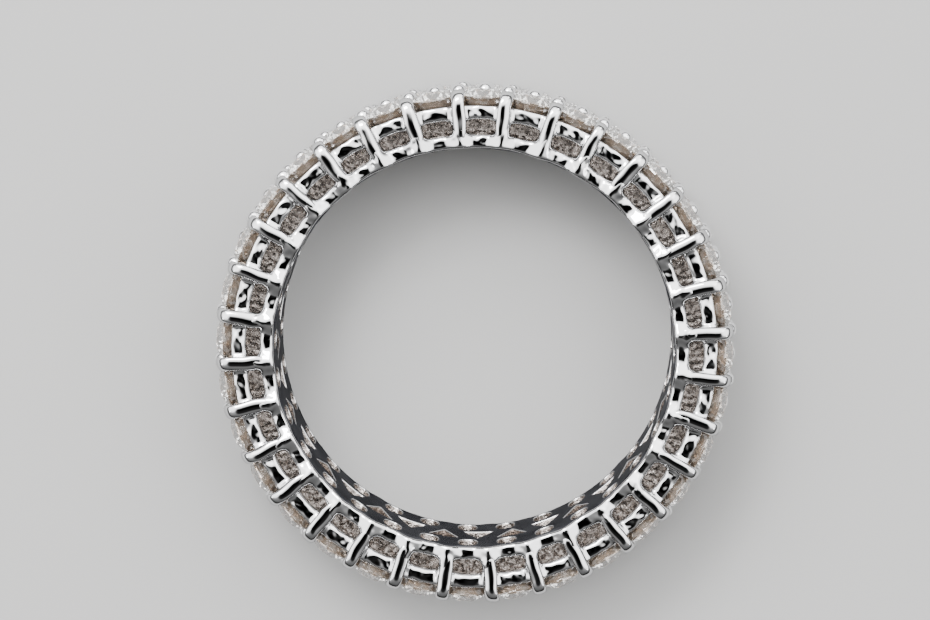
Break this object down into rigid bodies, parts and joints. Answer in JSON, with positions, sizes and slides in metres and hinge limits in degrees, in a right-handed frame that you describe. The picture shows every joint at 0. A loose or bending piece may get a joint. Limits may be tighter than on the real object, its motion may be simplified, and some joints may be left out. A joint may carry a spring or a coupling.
{
  "type": "eternity ring",
  "caption": "Wide eternity ring of white metal set all round with staggered rows of round clear stones, lying on its side; worn on a finger.",
  "frame": {"origin": "on the surface that the ring lies on, under the middle of the finger hole", "axes": "+Z along the ring's axis, up from the surface; +X and +Y across the ring"},
  "size_m": [0.0224, 0.0224, 0.006],
  "materials": {
    "white_metal": "polished rhodium-plated white gold, rough as cast inside the gallery",
    "stones": "faceted clear stone with a faint warm tint"
  },
  "bodies": {
    "root": {"band": "white_metal", "upper_row_stones": "stones", "middle_row_stones": "stones", "lower_row_stones": "stones"}
  },
  "joints": []
}
